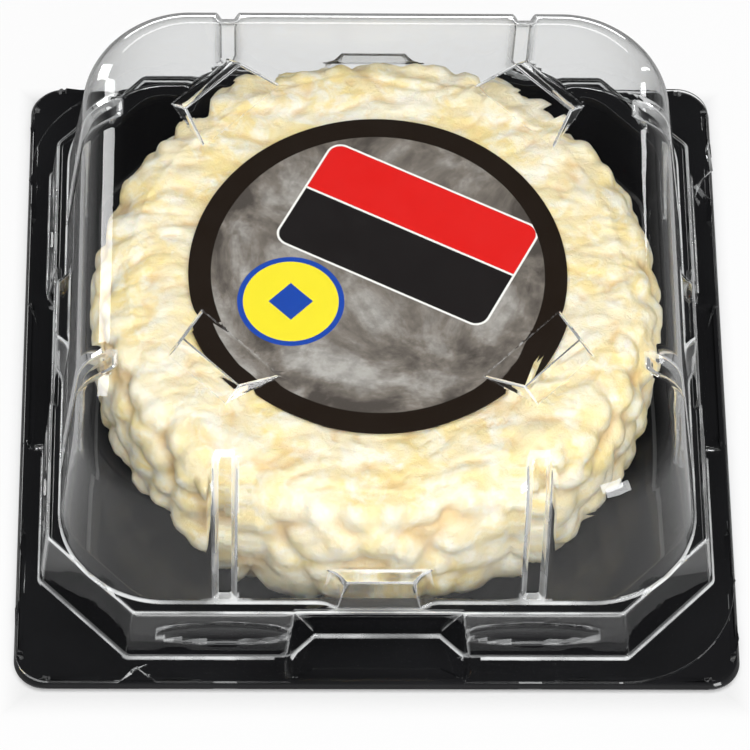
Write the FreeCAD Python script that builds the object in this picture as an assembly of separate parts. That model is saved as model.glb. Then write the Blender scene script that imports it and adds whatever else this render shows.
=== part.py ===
import FreeCAD, Part
import math
import os

# A small soft round cheese in its retail pack: a black formed tray, a clear
# formed lid that snaps over the tray's plinth, the cheese in the tray's well
# and a round paper label lying on the cheese.
# Origin: middle of the tray on the table. +Z up, front of the pack towards -Y.

V = FreeCAD.Vector

# --- cheese
cheese_radius = 35.0
cheese_height = 23.5
cheese_shift = -0.4       # it lies a little left of the middle
cheese_foot = 3.4         # how far the bottom edge is drawn in
cheese_crown = 2.8        # how far the top edge is drawn in
cheese_lobe = 0.35        # unevenness of the round
cheese_seat = 0.1         # cheese to well floor

# --- label
label_radius = 23.05
label_thick = 0.3
label_seat = 0.1

# --- sheets
tray_sheet = 0.5
lid_sheet = 0.4
lid_seat = 0.1            # film to tray flange
skirt_gap = 0.3           # skirt to plinth
shelf_gap = 0.3           # shelf to the plinth's rim

# --- well of the tray
well_room = 2.2           # widest part of the cheese to the well's rim
well_chamfer = 8.6
well_draft = 0.16
well_edge = 4.8

# --- plinth: the raised eight-sided rim that the lid snaps over
rim_width = 3.9           # well's rim to the foot of the lid's skirt
plinth_chamfer = 10.7     # leg of the cut corner
plinth_height = 9.1       # flange to the lid's shelf
plinth_draft = 0.118      # inward lean of the skirt, mm per mm of height
plinth_edge = 1.2         # rounding of the upright corners

# --- tray flange
flange_side = 2.9         # flange beside the skirt, left and right
flange_front = 3.6        # the same, front and back
flange_top = 1.7          # upper face of the flange above the table
plate_corner = 3.9
lip_height = 0.9          # turned-down edge, from the flange's upper face
lip_flare = 0.35          # how far the lip leans out at its foot

# --- dome
shelf_width = 1.63        # skirt's top edge to the dome's foot
dome_corner = 12.8
dome_draft = 0.132
head_room = 10.0          # cheese to the outside of the dome's top
shoulder = 8.1            # rounding between wall and top

# --- upright grooves in each dome wall
groove_corner = 7.2       # groove to the start of the dome's round corner
groove_width = 2.5
groove_depth = 0.8
groove_start = 0.5        # above the shelf
groove_reach = 3.6        # how far in over the shoulder it runs

# --- pad at the foot of each dome wall
pad_foot = 10.0           # width of its face at the shelf
pad_head = 8.0            # and at its flat top
pad_flare = 3.6           # how much wider it is at the wall
pad_height = 6.0
pad_proud = 0.9           # face outside the wall, at the shelf

# --- stacking lugs on the top
lug_margin = 5.7          # outer foot to the end of the flat top, along the diagonal
lug_slope = 2.3           # run of the short outer slope
lug_ramp = 5.0            # run of the long inner ramp
lug_inner_half = 6.6
lug_ridge_half = 4.85
lug_rise = 1.3
lug_sink = 0.3            # how far its solid reaches into the top

# --- finger recess in the middle of each side
recess_width = 22.2       # at its mouth
recess_room = 1.2         # widest part of the cheese to the recess's back, inside
pocket_depth = 0.75       # how far the flange is sunk in front of the recess
pocket_ramp = 0.75        # run of the ramp at each end of the sunk part
pocket_margin = 1.0       # sunk part to the flange's edge

# --- snap dimples, two in each side of skirt and plinth
dimple_near = -0.55       # mouth of the recess to the dimple's near end
dimple_far = 3.95         # dimple's far end to the cut corner
dimple_depth = 0.7
dimple_half_height = 1.3
dimple_level = 5.0        # above the flange

# --- outline of the lid's film
film_margin = 0.3         # film edge inside the flange's edge
film_corner = 4.0
film_round = 14.1         # the two generously rounded corners
film_strip = 4.6          # film left in front of a recess
film_slant = 2.8          # slanted ends of the strip's cut edge
notch_corner = 15.0       # tear notch to the end of its side
notch_width = 4.6
notch_depth = 1.9

# --- sizes that follow
well_half = cheese_radius + well_room
plinth_half = well_half + rim_width
plate_width = 2 * (plinth_half + flange_side)
plate_depth = 2 * (plinth_half + flange_front)
shelf = flange_top + plinth_height
cheese_base = tray_sheet + cheese_seat
cheese_top = cheese_base + cheese_height
dome_top = cheese_top + head_room
dome_half = plinth_half - plinth_draft * plinth_height - shelf_width
film_to_cavity = lid_sheet + skirt_gap          # lid's outside to the tray's outside
recess_foot = cheese_radius + recess_room + tray_sheet + film_to_cavity
dimple_start = recess_width / 2 + dimple_near
dimple_length = plinth_half - plinth_chamfer - dimple_far - dimple_start
dimple_place = dimple_start + dimple_length / 2

far_out = 3 * plate_depth     # larger than the pack, for cutting blocks


def polygon_face(points):
    return Part.Face(Part.makePolygon(points + [points[0]]))


def octagon(half, leg, z):
    """Eight-sided wire: a square with its corners cut at 45 degrees."""
    near = half - leg
    corners = [(half, -near), (half, near), (near, half), (-near, half),
               (-half, near), (-half, -near), (-near, -half), (near, -half)]
    points = [V(x, y, z) for x, y in corners]
    return Part.makePolygon(points + [points[0]])


def rounded_rect(half_x, half_y, radii, z):
    """Rectangle wire with round corners, given from the back right one anticlockwise."""
    arcs = []
    corners = zip(radii, [(1, 1), (-1, 1), (-1, -1), (1, -1)])
    for turn, (radius, (sx, sy)) in enumerate(corners):
        centre = V(sx * (half_x - radius), sy * (half_y - radius), z)
        angles = [math.radians(90 * turn + more) for more in (0, 45, 90)]
        ring = [centre + V(radius * math.cos(a), radius * math.sin(a), 0) for a in angles]
        arcs.append(Part.Arc(*ring).toShape())
    edges = []
    for arc, following in zip(arcs, arcs[1:] + arcs[:1]):
        edges.append(arc)
        start = arc.Vertexes[-1].Point
        edges.append(Part.LineSegment(start, following.Vertexes[0].Point).toShape())
    return Part.Wire(edges)


def on_side(shape, side):
    """Copy of a shape made at the front (-Y) side, turned to one of the four sides."""
    turned = shape.copy()
    turned.rotate(V(0, 0, 0), V(0, 0, 1), 90 * side)
    return turned


def cut_all(body, tools):
    for tool in tools:
        body = body.cut(tool)
    return body


def fuse_all(body, more):
    for piece in more:
        body = body.fuse(piece)
    return body


def below(level, body):
    """The part of a body under a level."""
    return body.common(Part.makeBox(far_out, far_out, level, V(-far_out / 2, -far_out / 2, 0)))


def upright_edges(body):
    found = []
    for edge in body.Edges:
        a = edge.Vertexes[0].Point
        b = edge.Vertexes[-1].Point
        if abs(a.z - b.z) > 0.8 * (a - b).Length > 0:
            found.append(edge)
    return found


# --- forms shared by tray and lid; inset is how far a surface lies inside the lid's outside

def plinth_half_at(z, inset):
    return plinth_half - plinth_draft * (z - flange_top) - inset


def plinth_form(inset, low, high):
    lean = (2 - math.sqrt(2)) * inset
    rings = [octagon(plinth_half_at(z, inset), plinth_chamfer - lean, z) for z in (low, high)]
    body = Part.makeLoft(rings, True, True)
    return body.makeFillet(max(plinth_edge - inset, 0.2), upright_edges(body))


def recess_tool(inset):
    """Finger recess: a sloping back between two faces at 45 degrees, widened by inset."""
    foot = -(recess_foot - inset)
    head = -plinth_half_at(shelf, inset)
    lean = (head - foot) / plinth_height
    slope = polygon_face([V(-far_out, foot - flange_top * lean, 0), V(-far_out, head, shelf),
                          V(-far_out, -far_out, shelf), V(-far_out, -far_out, 0)])
    slope = slope.extrude(V(2 * far_out, 0, 0))
    mouth = recess_width / 2 + inset * math.tan(math.pi / 8)
    front = plinth_half - inset
    run = front + foot + flange_top * lean + 1.0
    plan = polygon_face([V(-mouth, -front - far_out, 0), V(-mouth, -front, 0),
                         V(-mouth + run, -front + run, 0), V(mouth - run, -front + run, 0),
                         V(mouth, -front, 0), V(mouth, -front - far_out, 0)])
    return slope.common(plan.extrude(V(0, 0, shelf)))


def dimple_tools(inset):
    """Two lens-shaped dimples: the rim of a wide double cone pressed into the side."""
    disc = dimple_length ** 2 / (8 * dimple_depth)
    band = 2 * dimple_depth
    tall = band * dimple_half_height / dimple_depth
    level = flange_top + dimple_level
    centre_y = -(plinth_half_at(level, inset) + disc - dimple_depth)
    tools = []
    for side_x in (-1, 1):
        place = V(side_x * dimple_place, centre_y, level)
        tools.append(Part.makeCone(disc, disc - band, tall, place, V(0, 0, 1)))
        tools.append(Part.makeCone(disc, disc - band, tall, place, V(0, 0, -1)))
    return tools


def snapped_plinth(inset, low, high):
    """Plinth form with its recesses and dimples on all four sides."""
    body = plinth_form(inset, low, high)
    for side in range(4):
        tools = [recess_tool(inset)] + dimple_tools(inset)
        body = cut_all(body, [on_side(tool, side) for tool in tools])
    return body


def pocket_solid(floor, grow, edge_half):
    """Sunk stretch of flange in front of a recess, with a ramp at each end."""
    foot = recess_width / 2 - pocket_ramp + grow
    head = foot + pocket_ramp
    brim = floor + pocket_depth
    clear = brim + pocket_depth
    inner = cheese_radius
    outer = edge_half - pocket_margin + grow
    profile = polygon_face([V(-foot, -inner, floor), V(-head, -inner, brim),
                            V(-head, -inner, clear), V(head, -inner, clear),
                            V(head, -inner, brim), V(foot, -inner, floor)])
    return profile.extrude(V(0, inner - outer, 0))


def side_half(side):
    """Half of the flange's size towards one of the four sides."""
    return plate_depth / 2 if side % 2 == 0 else plate_width / 2


def pockets(floor, grow):
    return [on_side(pocket_solid(floor, grow, side_half(side)), side) for side in range(4)]


# --- tray

def well_form(grow, low, high):
    rings = []
    lean = (2 - math.sqrt(2)) * grow
    for z in (low, high):
        half = well_half - well_draft * (shelf - z) + grow
        rings.append(octagon(half, well_chamfer + lean, z))
    body = Part.makeLoft(rings, True, True)
    return body.makeFillet(well_edge, upright_edges(body))


def make_plate():
    """The tray's flange with its turned-down lip and the sunk parts in its sides."""
    under = flange_top - tray_sheet
    foot = flange_top - lip_height

    def ring(inward, z):
        corner = plate_corner - inward / 2
        return rounded_rect(plate_width / 2 - inward, plate_depth / 2 - inward, [corner] * 4, z)

    flange = Part.Face(ring(lip_flare, under)).extrude(V(0, 0, tray_sheet))
    outside = Part.makeLoft([ring(0, foot), ring(lip_flare, flange_top)], True, True)
    inside = Part.makeLoft([ring(tray_sheet, foot), ring(tray_sheet + lip_flare, under)], True, True)
    plate = outside.cut(inside).fuse(flange)

    floor = flange_top - pocket_depth
    plate = fuse_all(plate, [below(flange_top, p) for p in pockets(floor - tray_sheet, tray_sheet)])
    return cut_all(plate, pockets(floor, 0))


def make_tray():
    inset = film_to_cavity
    under = flange_top - tray_sheet
    floor = flange_top - pocket_depth
    rim_top = shelf - lid_sheet - shelf_gap
    plinth = snapped_plinth(inset, floor - tray_sheet, rim_top)
    bowl = well_form(tray_sheet, 0, rim_top)
    hollow = snapped_plinth(inset + tray_sheet, 0, rim_top - tray_sheet).cut(bowl)
    trim = plinth_form(inset - tray_sheet / 2, 0, under)
    trim = cut_all(trim.cut(bowl), pockets(floor - tray_sheet, tray_sheet))

    body = plinth.fuse(bowl).cut(trim)
    body = make_plate().fuse(body).cut(hollow)
    well = well_form(0, tray_sheet, shelf)
    well = cut_all(well, [on_side(recess_tool(inset + tray_sheet), side) for side in range(4)])
    return body.cut(well).removeSplitter()


# --- lid

def dome_half_at(z, inset):
    return dome_half - dome_draft * (z - shelf) - inset


def dome_form(inset, low):
    high = dome_top - inset
    rings = []
    for z in (low, high):
        half = dome_half_at(z, inset)
        rings.append(rounded_rect(half, half, [dome_corner - inset] * 4, z))
    body = Part.makeLoft(rings, True, True)
    edges = [e for e in body.Edges if all(abs(v.Point.z - high) < 1e-6 for v in e.Vertexes)]
    return body.makeFillet(shoulder - inset, edges)


def groove_tools(inset):
    """Cutters for the two upright grooves of a wall; their floor follows the dome."""
    core = dome_form(inset + groove_depth, flange_top)
    low = shelf + groove_start - inset
    near = dome_half_at(dome_top, 0) - groove_reach - inset
    half = groove_width / 2 + inset
    place = dome_half - dome_corner - groove_corner
    tools = []
    for x in (-place, place):
        slab = Part.makeBox(2 * half, far_out, dome_top, V(x - half, -far_out - near, low))
        tools.append(slab.cut(core))
    return tools


def pad_form(inset):
    """Flat-topped bump at the foot of a wall, wider towards the wall and towards its foot."""
    face = -(dome_half_at(shelf, inset) + pad_proud)
    back = -dome_half_at(dome_top, inset)
    rings = []
    for width, z in ((pad_foot, shelf - lid_sheet / 2), (pad_head, shelf + pad_height - inset)):
        near = width / 2 - inset
        wide = near + pad_flare / 2
        wall = -dome_half_at(z, inset)
        rings.append(Part.makePolygon([V(-near, face, z), V(near, face, z), V(wide, wall, z),
                                       V(wide, back, z), V(-wide, back, z), V(-wide, wall, z),
                                       V(-near, face, z)]))
    return Part.makeLoft(rings, True, True)


def lug_form(inset, turn):
    """Wedge with a long inner ramp, a short outer slope and slanted ends."""
    top = dome_top - inset
    flat_half = dome_half_at(dome_top, 0) - shoulder
    flat_corner = dome_corner - shoulder
    outer_at = math.sqrt(2) * (flat_half - flat_corner) + flat_corner - lug_margin
    ridge_at = outer_at - lug_slope
    inner_at = ridge_at - lug_ramp
    inner = [V(inner_at, s * lug_inner_half, top) for s in (-1, 1)]
    ridge = [V(ridge_at, s * lug_ridge_half, top + lug_rise) for s in (-1, 1)]
    outer = [V(outer_at, s * lug_ridge_half, top) for s in (-1, 1)]
    drop = V(0, 0, -lug_sink)
    faces = [polygon_face([inner[0], inner[1], ridge[1], ridge[0]]),
             polygon_face([ridge[0], ridge[1], outer[1], outer[0]]),
             polygon_face([inner[0], ridge[0], outer[0]]),
             polygon_face([inner[1], ridge[1], outer[1]])]
    ring = [inner[0], inner[1], outer[1], outer[0]]
    faces.append(polygon_face([p + drop for p in ring]))
    for a, b in zip(ring, ring[1:] + ring[:1]):
        faces.append(polygon_face([a, b, b + drop, a + drop]))
    body = Part.makeSolid(Part.makeShell(faces))
    body.rotate(V(0, 0, 0), V(0, 0, 1), 45 + 90 * turn)
    return body


def lid_form(inset, low):
    """Everything inside the lid's outer surface, or its inner one when inset by the sheet."""
    dome = dome_form(inset, shelf - lid_sheet - inset)
    for side in range(4):
        dome = cut_all(dome, [on_side(tool, side) for tool in groove_tools(inset)])
    dome = fuse_all(dome, [on_side(pad_form(inset), side) for side in range(4)])
    dome = fuse_all(dome, [lug_form(inset, turn) for turn in range(4)])
    return snapped_plinth(inset, low, shelf - inset).fuse(dome)


def film_outline(z):
    """Edge of the lid's flange: two tight corners and two generously rounded ones."""
    half_x = plate_width / 2 - film_margin
    half_y = plate_depth / 2 - film_margin
    return rounded_rect(half_x, half_y, [film_corner, film_round, film_corner, film_round], z)


def notch_tool(edge_half, place):
    """Tear notch in the film's front edge."""
    edge = -(edge_half - film_margin)
    half = notch_width / 2
    face = polygon_face([V(place - half, edge, 0), V(place - half, edge - film_margin, 0),
                         V(place + half, edge - film_margin, 0), V(place + half, edge, 0),
                         V(place, edge + notch_depth, 0)])
    return face.extrude(V(0, 0, shelf))


def strip_tool(side):
    """Removes the film in front of a recess, apart from the strip that follows it."""
    edge = side_half(side)
    far = recess_width / 2 - pocket_ramp
    reach = recess_foot + film_strip
    near = far - film_slant
    face = polygon_face([V(-far, -edge, 0), V(far, -edge, 0),
                         V(far, -reach - film_slant / 2, 0), V(near, -reach, 0),
                         V(-near, -reach, 0), V(-far, -reach - film_slant / 2, 0)])
    return on_side(face.extrude(V(0, 0, shelf)), side)


def make_lid():
    low = flange_top + lid_seat
    high = low + lid_sheet
    floor = low - pocket_depth
    film = Part.Face(film_outline(low)).extrude(V(0, 0, lid_sheet))
    film = fuse_all(film, [below(high, p) for p in pockets(floor, -lid_seat)])
    film = cut_all(film, pockets(floor + lid_sheet, -lid_seat - lid_sheet / 2))
    film = cut_all(film, [strip_tool(side) for side in range(4)])
    film = film.cut(notch_tool(plate_depth / 2, notch_corner - plate_width / 2))
    film = film.cut(on_side(notch_tool(plate_width / 2, plate_depth / 2 - notch_corner), 1))

    outside = lid_form(0, floor)
    trim = plinth_form(-lid_seat, 0, low)
    trim = cut_all(trim, pockets(floor, -lid_seat))
    inside = lid_form(lid_sheet, 0)
    body = film.fuse(outside.cut(trim)).cut(inside)
    return body.removeSplitter()


# --- cheese and label

def uneven_ring(radius, z, phase):
    """Closed curve, nearly round, with the gentle lobes of a hand-moulded cheese."""
    count = 24
    points = []
    for step in range(count):
        angle = 2 * math.pi * step / count
        lobe = cheese_lobe * (math.sin(2 * angle + 0.7) + 0.7 * math.sin(5 * angle + 1.9 + phase)
                              + 0.5 * math.sin(9 * angle + 2.3 * phase))
        points.append(V(cheese_shift + (radius + lobe) * math.cos(angle),
                        (radius + lobe) * math.sin(angle), z))
    curve = Part.BSplineCurve()
    curve.interpolate(points, PeriodicFlag=True)
    return Part.Wire(curve.toShape())


def make_cheese():
    """Round with drawn-in edges: (share of the height, how far the side is drawn in)."""
    levels = [(0.0, cheese_foot), (0.06, 0.35 * cheese_foot), (0.18, 0.0), (0.5, 0.0),
              (0.76, 0.12 * cheese_crown), (0.92, 0.4 * cheese_crown), (1.0, cheese_crown)]
    rings = [uneven_ring(cheese_radius - inward, cheese_base + share * cheese_height, 1.5 * share)
             for share, inward in levels]
    return Part.makeLoft(rings, True, False)


def make_label():
    return Part.makeCylinder(label_radius, label_thick, V(0, 0, cheese_top + label_seat))


os.makedirs("parts", exist_ok=True)
nodes = {"tray": make_tray, "lid": make_lid, "cheese": make_cheese, "label": make_label}
for name, make in nodes.items():
    solid = make()
    print(name, "solids", len(solid.Solids), "valid", solid.isValid(), "mm3", round(solid.Volume, 1))
    solid.exportStep("parts/" + name + ".step")
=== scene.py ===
import math

import bmesh
import bpy
from mathutils import Matrix, Vector, noise


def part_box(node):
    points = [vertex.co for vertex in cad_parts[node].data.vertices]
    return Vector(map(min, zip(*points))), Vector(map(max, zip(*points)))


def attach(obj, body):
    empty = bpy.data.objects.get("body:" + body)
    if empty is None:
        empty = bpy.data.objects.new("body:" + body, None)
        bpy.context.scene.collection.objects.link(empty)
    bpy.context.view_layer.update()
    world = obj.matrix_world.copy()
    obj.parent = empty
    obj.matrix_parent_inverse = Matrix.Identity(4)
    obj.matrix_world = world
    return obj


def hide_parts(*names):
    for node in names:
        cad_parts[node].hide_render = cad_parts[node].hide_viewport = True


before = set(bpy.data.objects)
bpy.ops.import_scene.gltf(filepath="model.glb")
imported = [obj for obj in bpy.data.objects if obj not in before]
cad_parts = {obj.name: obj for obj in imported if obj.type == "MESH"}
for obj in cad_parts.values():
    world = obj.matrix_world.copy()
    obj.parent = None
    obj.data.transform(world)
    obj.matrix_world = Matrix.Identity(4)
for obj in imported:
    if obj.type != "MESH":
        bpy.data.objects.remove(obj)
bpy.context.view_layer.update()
mm = 0.001


def boxInMm(corners):
    return [[value / mm for value in corner] for corner in corners]


trayBox = boxInMm(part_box("tray"))
lidBox = boxInMm(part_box("lid"))
cheeseBox = boxInMm(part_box("cheese"))
labelBox = boxInMm(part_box("label"))

# A formed sheet starts as a square grid, its flat middle. The grid's edge is then drawn out
# ring by ring. A place on a ring is a side (0 front, 1 right, 2 back, 3 left) and a column
# counted from the middle of that side, below nought to its left. u runs along the side and
# n straight out from the middle of the pack.
sideColumns = [6, 5, 3, 5, 9, 2]  # columns between the break places of half a side
straightColumns = sum(sideColumns)
cornerColumns = 18
halfColumns = straightColumns + cornerColumns
grooveBreaks = [17.0, 19.8, 21.5]  # just outside a groove on both sides, and the last straight column


def ease(low, high, value):
    share = min(max((value - low) / (high - low), 0.0), 1.0)
    return share * share * (3 - 2 * share)


def mix(first, second, share):
    return first + (second - first) * share


def turns(degrees, first, last):  # even turns round a small edge
    return [math.radians(degrees * step) for step in range(first, last + 1)]


def breakPlace(breaks, column):
    start = 0.0
    for end, count in zip(breaks, sideColumns):
        if column <= count:
            return mix(start, end, column / count)
        column -= count
        start = end
    return start


# outline of a square with round corners; radii go front right, back right, back left, front
# left, and straightShare of a corner's columns comes before its round
def roundLine(halfX, halfY, radii, breaks, stops=(), straightShare=0.5):
    clear = 0.5  # a stop nearer than this to the round is left out

    def point(where, column):
        out, along = (halfX, halfY) if where % 2 else (halfY, halfX)
        radius = radii[where if column > 0 else (where - 1) % 4]
        size = abs(column)
        share = (size - straightColumns) / cornerColumns
        if size <= straightColumns:
            u, n = breakPlace(breaks, size), out
        elif share <= straightShare:
            track = [breaks[-1]] + [s for s in stops if s < along - radius - clear] + [along - radius]
            reach = share / straightShare * (len(track) - 1)
            step = min(int(reach), len(track) - 2)
            u, n = mix(track[step], track[step + 1], reach - step), out
        else:
            turn = (share - straightShare) / (1 - straightShare) * math.pi / 4
            u = along - radius + radius * math.sin(turn)
            n = out - radius + radius * math.cos(turn)
        return math.copysign(u, column), n
    return point


# outline of a square with its corners cut off at 45 degrees, the cuts' ends rounded
def cutLine(half, leg, radius, breaks):
    straightEnd, roundEnd = 0.42, 0.66  # shares of a corner's columns
    bend = half - leg - radius * math.tan(math.pi / 8)
    roundU = bend + radius * math.sin(math.pi / 4)
    roundN = half - radius + radius * math.cos(math.pi / 4)

    def point(where, column):
        size = abs(column)
        share = (size - straightColumns) / cornerColumns
        if size <= straightColumns:
            u, n = breakPlace(breaks, size), half
        elif share <= straightEnd:
            u, n = mix(breaks[-1], bend, share / straightEnd), half
        elif share <= roundEnd:
            turn = (share - straightEnd) / (roundEnd - straightEnd) * math.pi / 4
            u = bend + radius * math.sin(turn)
            n = half - radius + radius * math.cos(turn)
        else:
            part = (share - roundEnd) / (1 - roundEnd)
            u, n = mix(roundU, half - leg / 2, part), mix(roundN, half - leg / 2, part)
        return math.copysign(u, column), n
    return point


def flatRing(line, z):
    def ring(where, column):
        u, n = line(where, column)
        return u, n, z
    return ring


def flatMiddle(line, z):
    def middle(where, column, share):
        u, n = line(where, column)
        return u * share, n * share, z
    return middle


def sideTurn(where, u, n):
    return [(u, -n), (n, u), (-u, n), (-n, -u)][where]


def gridPlace(i, j):  # ring, side and column of a corner of the grid
    ring = max(abs(i), abs(j))
    if i == ring and j > -ring:
        return ring, 1, j
    if j == ring:
        return ring, 2, -i
    if i == -ring and j > -ring:
        return ring, 3, -j
    return ring, 0, i


# Each ring is a function that turns a side and a column into (u, n, z), and into a fourth
# value where the sheet keeps one under the name given.
def drawSheet(half, middle, rings, kept=None):
    sheet = bmesh.new()
    bmesh.ops.create_grid(sheet, x_segments=2 * half, y_segments=2 * half, size=half)
    whereOf = sheet.verts.layers.int.new("side")
    columnOf = sheet.verts.layers.int.new("column")
    keptOf = sheet.verts.layers.float.new(kept) if kept else None

    def put(vert, u, n, z, value=0.0):
        vert.co = (*sideTurn(vert[whereOf], u, n), z)
        if kept:
            vert[keptOf] = value

    for vert in sheet.verts:
        ring, where, column = gridPlace(round(vert.co.x), round(vert.co.y))
        vert[whereOf], vert[columnOf] = where, column
        put(vert, *middle(where, column * half / ring if ring else 0, ring / half))
    edges = [edge for edge in sheet.edges if edge.is_boundary]
    for ring in rings:
        drawn = bmesh.ops.extrude_edge_only(sheet, edges=edges)["geom"]
        verts = [part for part in drawn if isinstance(part, bmesh.types.BMVert)]
        fresh = set(verts)
        edges = [part for part in drawn if isinstance(part, bmesh.types.BMEdge)
                 and fresh.issuperset(part.verts)]
        for vert in verts:
            put(vert, *ring(vert[whereOf], vert[columnOf]))
    bmesh.ops.recalc_face_normals(sheet, faces=sheet.faces)
    crown = min(sheet.faces, key=lambda face: face.calc_center_median().xy.length)
    if crown.normal.z < 0:
        bmesh.ops.reverse_faces(sheet, faces=sheet.faces)
    return sheet


# The sides that tray and lid share: a leaning wall with cut corners, a finger recess in the
# middle of each side with a ramped pocket before it, and a snap dimple to its left and right.
side = {
    "flange": 1.7, "shelf": lidBox[1][2] - 24.6,
    "half": 41.1, "lean": 0.118, "leg": 10.7, "bend": 1.2, "leastBend": 0.2,
    "recessFoot": 37.4, "recessMouth": 11.1, "leastMouth": 0.1, "mouthStep": 1.5,
    "dimplePlace": 18.5, "dimpleHalf": 7.95, "dimpleLevel": 6.7, "dimpleTall": 1.9,
    "dimpleDepth": 0.95, "dimplePower": 0.6,
    "pocketFlat": 10.35, "pocketEnd": 11.1, "pocketDepth": 0.75, "pocketMargin": 1.0,
    "rows": (9.0, 8.7, 8.5, 8.2, 7.8, 7.3, 6.7, 6.1, 5.6, 5.2, 4.95, 4.75),  # closest at the dimples' edges
}
cornerShare = 2 - math.sqrt(2)  # what a corner's cut loses for each millimetre of inset


def sideHalfAt(z, inset):
    return side["half"] - side["lean"] * (z - side["flange"]) - inset


def recessMouth(inset):
    return side["recessMouth"] + inset * math.tan(math.pi / 8)


def recessBack(z, inset):
    foot = side["recessFoot"] - inset
    slope = (sideHalfAt(side["shelf"], inset) - foot) / (side["shelf"] - side["flange"])
    return foot + slope * (z - side["flange"])


def recessBreaks(z, inset):
    base = side["half"] - inset - recessMouth(inset)
    inner = recessBack(z, inset) - base
    outer = max(sideHalfAt(z, inset) - base, inner + side["leastMouth"])
    return [inner, outer, outer + side["mouthStep"]] + grooveBreaks


def fromDimple(reach, z):  # 0 in the middle of a dimple and 1 on its outline
    off = (reach - side["dimplePlace"]) / side["dimpleHalf"]
    rise = (z - side["dimpleLevel"]) / side["dimpleTall"]
    return off * off + rise * rise


def pressedSide(u, n, z, inset):
    reach = abs(u)
    n = min(n, max(recessBack(z, inset), side["half"] - inset - recessMouth(inset) + reach))
    return n - side["dimpleDepth"] * max(1 - fromDimple(reach, z), 0.0) ** side["dimplePower"]


def pocketDrop(u):
    return side["pocketDepth"] * (1 - ease(side["pocketFlat"], side["pocketEnd"], abs(u)))


def pressedRing(z, inset, drop=False):
    line = cutLine(sideHalfAt(z, inset), side["leg"] - cornerShare * inset,
                   max(side["bend"] - inset, side["leastBend"]), recessBreaks(z, inset))

    def ring(where, column):
        u, n = line(where, column)
        return u, pressedSide(u, n, z, inset), z - (pocketDrop(u) if drop else 0.0)
    return ring


def edgeRing(level, inset, inward, z):  # the outline at one level, drawn inwards and put at z
    ringAt = pressedRing(level, inset)

    def ring(where, column):
        u, n, _ = ringAt(where, column)
        return u, n - inward, z
    return ring


# Formed plastic catches the light along its tight bends and rims, and a painted highlight stands in for it
# there. The corner value "crease"
# marks where it is painted: 1 on a bend's own corners, and nothing in faces wider than the widest.
paintedHighlightMarks = {
    "border": 40.9, "borderTop": 2.6, "borderWidest": 0.5,  # the flat border outside the skirt
    "rampHalf": 12.5, "ramp": 0.2,  # the pockets' ramps are all bends, so they are marked less,
    "skirt": 36.0, "core": 0.9, "around": 1.5, "coreShare": 0.15, "outlineShare": 0.9,  # as the dimples are
    "fade": 0.6,  # share of the widest where the marking begins to fade
}


def onBorder(place):
    return max(abs(place.x), abs(place.y)) > paintedHighlightMarks["border"] and place.z < paintedHighlightMarks["borderTop"]


def paintedHighlightShare(place):
    near, far = sorted((abs(place.x), abs(place.y)))
    if near < paintedHighlightMarks["rampHalf"] and onBorder(place):
        return paintedHighlightMarks["ramp"]
    inside = fromDimple(near, place.z)
    if far > paintedHighlightMarks["skirt"] and inside < paintedHighlightMarks["around"]:
        return paintedHighlightMarks["coreShare"] if inside < paintedHighlightMarks["core"] else paintedHighlightMarks["outlineShare"]
    return 1.0


def markCreaseHighlights(mesh, low, high, widest):  # low and high are bends in degrees
    solid = bmesh.new()
    solid.from_mesh(mesh)
    creaseOf = solid.loops.layers.float.new("crease")
    bend = {}
    for vert in solid.verts:
        sharpest = max(edge.calc_face_angle(0.0) for edge in vert.link_edges)
        bend[vert] = ease(low, high, math.degrees(sharpest)) * paintedHighlightShare(vert.co / mm)
    for face in solid.faces:
        limit = min(widest, paintedHighlightMarks["borderWidest"]) if onBorder(face.calc_center_median() / mm) else widest
        narrow = face.calc_area() / max(edge.calc_length() for edge in face.edges)
        share = 1 - ease(limit * paintedHighlightMarks["fade"] * mm, limit * mm, narrow)
        for loop in face.loops:
            loop[creaseOf] = bend[loop.vert] * share
    solid.to_mesh(mesh)
    solid.free()


def giveWall(piece, wall):
    solid = piece.modifiers.new("wall", "SOLIDIFY")
    solid.thickness = wall * mm
    solid.offset = -1.0
    solid.use_even_offset = False
    bpy.context.view_layer.update()
    finished = piece.evaluated_get(bpy.context.evaluated_depsgraph_get())
    mesh = bpy.data.meshes.new_from_object(finished)
    piece.modifiers.clear()
    piece.data = mesh
    mesh.name = piece.name
    return mesh


def makePiece(name, sheet, material, node, sharpFrom, wall=0.0, creases=None):
    bmesh.ops.scale(sheet, vec=(mm, mm, mm), verts=sheet.verts)
    mesh = bpy.data.meshes.new(name)
    sheet.to_mesh(mesh)
    sheet.free()
    piece = bpy.data.objects.new(name, mesh)
    bpy.context.scene.collection.objects.link(piece)
    if wall:
        mesh = giveWall(piece, wall)
    if creases:
        markCreaseHighlights(mesh, *creases)
    mesh.polygons.foreach_set("use_smooth", [True] * len(mesh.polygons))
    mesh.set_sharp_from_angle(angle=math.radians(sharpFrom))
    mesh.materials.clear()
    mesh.materials.append(material)
    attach(piece, "root")
    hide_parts(node)
    triangles = sum(len(p.vertices) - 2 for p in mesh.polygons)
    print(name, "made,", triangles, "triangles")


def newMaterial(name):
    material = bpy.data.materials.new(name)
    material.use_nodes = True
    nodes, links = material.node_tree.nodes, material.node_tree.links
    nodes.clear()
    return material, nodes, links


def addNode(nodes, kind, **values):
    node = nodes.new(kind)
    for key, value in values.items():
        setattr(node, key, value)
    return node


def finishSurface(nodes, links, shader, kind="ShaderNodeOutputMaterial"):
    out = addNode(nodes, kind)
    links.new(shader.outputs[0], out.inputs["Surface"])


def mixShaders(nodes, links, share, first, second):
    both = addNode(nodes, "ShaderNodeMixShader")
    links.new(share, both.inputs[0])
    links.new(first.outputs[0], both.inputs[1])
    links.new(second.outputs[0], both.inputs[2])
    return both


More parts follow.
